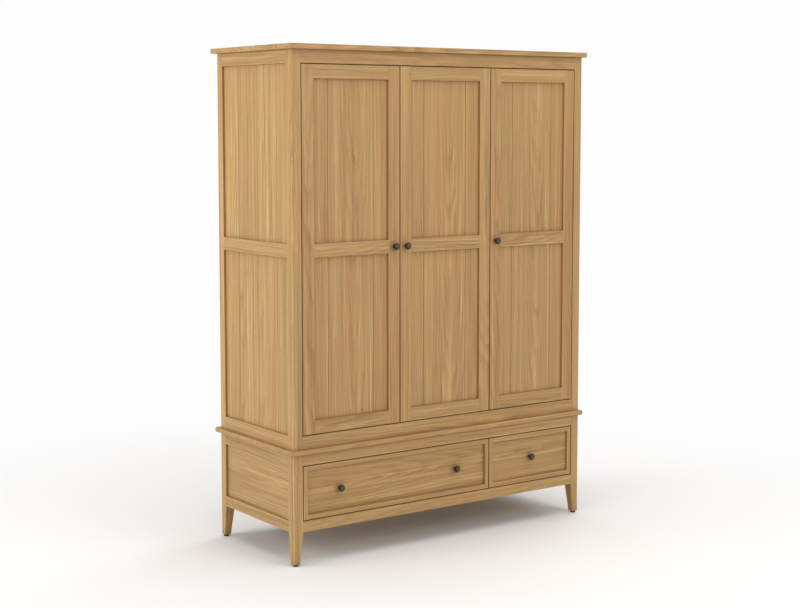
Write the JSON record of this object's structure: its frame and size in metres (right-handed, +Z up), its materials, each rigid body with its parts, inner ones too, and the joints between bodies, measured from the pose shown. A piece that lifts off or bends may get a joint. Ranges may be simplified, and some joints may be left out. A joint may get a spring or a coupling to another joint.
{
  "type": "wardrobe",
  "caption": "Free-standing oak wardrobe: framed panel doors on hidden pivots over a base with drawers, waist moulding and tapered legs; shelves and a hanging rail inside",
  "frame": {"origin": "on the floor, in the middle of the bounding box's width and depth", "axes": "+Z up; the doors and drawers face -Y; +X is to the right for someone facing the front"},
  "size_m": [1.485, 0.62, 2],
  "materials": {
    "oak_front": "satin clear lacquer on natural oak",
    "oak_side": "satin clear lacquer on natural oak",
    "oak_inside": "thin matt lacquer on natural oak",
    "dark_bronze": "dark bronze, satin, a little rubbed",
    "fitting_steel": "blackened steel, satin",
    "rail_chrome": "satin chrome plated steel tube",
    "glide_plastic": "matt black nylon",
    "catch_plastic": "dark brown plastic case with a magnet"
  },
  "bodies": {
    "case": {"leg_front_left": "oak_front", "leg_front_right": "oak_front", "leg_rear_left": "oak_front", "leg_rear_right": "oak_front", "glides": "glide_plastic", "base_front_rails": "oak_front", "base_side_rails": "oak_side", "base_side_panels": "oak_side", "base_back_rails": "oak_front", "base_back_panel": "oak_inside", "drawer_runners": "oak_inside", "drawer_kickers": "oak_inside", "drawer_divider": "oak_inside", "waist_board": "oak_front", "post_front_left": "oak_front", "post_front_right": "oak_front", "post_rear_left": "oak_front", "post_rear_right": "oak_front", "case_front_rails": "oak_front", "case_side_rails": "oak_side", "case_side_panels": "oak_side", "back_frame": "oak_front", "back_panels": "oak_inside", "floor_board": "oak_inside", "partition": "oak_inside", "hat_shelf": "oak_inside", "narrow_shelves": "oak_inside", "shelf_cleats": "oak_inside", "hanging_rail": "rail_chrome", "rail_sockets": "rail_chrome", "top_board": "oak_front", "pivot_leaves": "fitting_steel", "door_catches": "catch_plastic"},
    "left_door": {"left_door_stiles": "oak_front", "left_door_rails": "oak_front", "left_door_panels": "oak_front", "left_door_knob": "dark_bronze", "left_door_fittings": "fitting_steel"},
    "middle_door": {"middle_door_stiles": "oak_front", "middle_door_rails": "oak_front", "middle_door_panels": "oak_front", "middle_door_knob": "dark_bronze", "middle_door_fittings": "fitting_steel"},
    "right_door": {"right_door_stiles": "oak_front", "right_door_rails": "oak_front", "right_door_panels": "oak_front", "right_door_knob": "dark_bronze", "right_door_fittings": "fitting_steel"},
    "wide_drawer": {"wide_drawer_frame": "oak_front", "wide_drawer_panel": "oak_front", "wide_drawer_box": "oak_inside", "wide_drawer_bottom": "oak_inside", "wide_drawer_knobs": "dark_bronze", "wide_drawer_screws": "fitting_steel"},
    "narrow_drawer": {"narrow_drawer_frame": "oak_front", "narrow_drawer_panel": "oak_front", "narrow_drawer_box": "oak_inside", "narrow_drawer_bottom": "oak_inside", "narrow_drawer_knob": "dark_bronze", "narrow_drawer_screw": "fitting_steel"}
  },
  "joints": [
    {"name": "left_door_hinge", "type": "hinge", "parent": "case", "child": "left_door", "pos_m": [-0.6795, -0.28, 0.509], "axis": [0, 0, -1], "range_deg": [0, 105]},
    {"name": "middle_door_hinge", "type": "hinge", "parent": "case", "child": "middle_door", "pos_m": [0.22216, -0.28, 0.509], "axis": [0, 0, 1], "range_deg": [0, 90]},
    {"name": "right_door_hinge", "type": "hinge", "parent": "case", "child": "right_door", "pos_m": [0.67949, -0.28, 0.509], "axis": [0, 0, 1], "range_deg": [0, 105]},
    {"name": "wide_drawer_slide", "type": "slide", "parent": "case", "child": "wide_drawer", "axis": [0, -1, 0], "range_m": [0, 0.38]},
    {"name": "narrow_drawer_slide", "type": "slide", "parent": "case", "child": "narrow_drawer", "axis": [0, -1, 0], "range_m": [0, 0.38]}
  ]
}
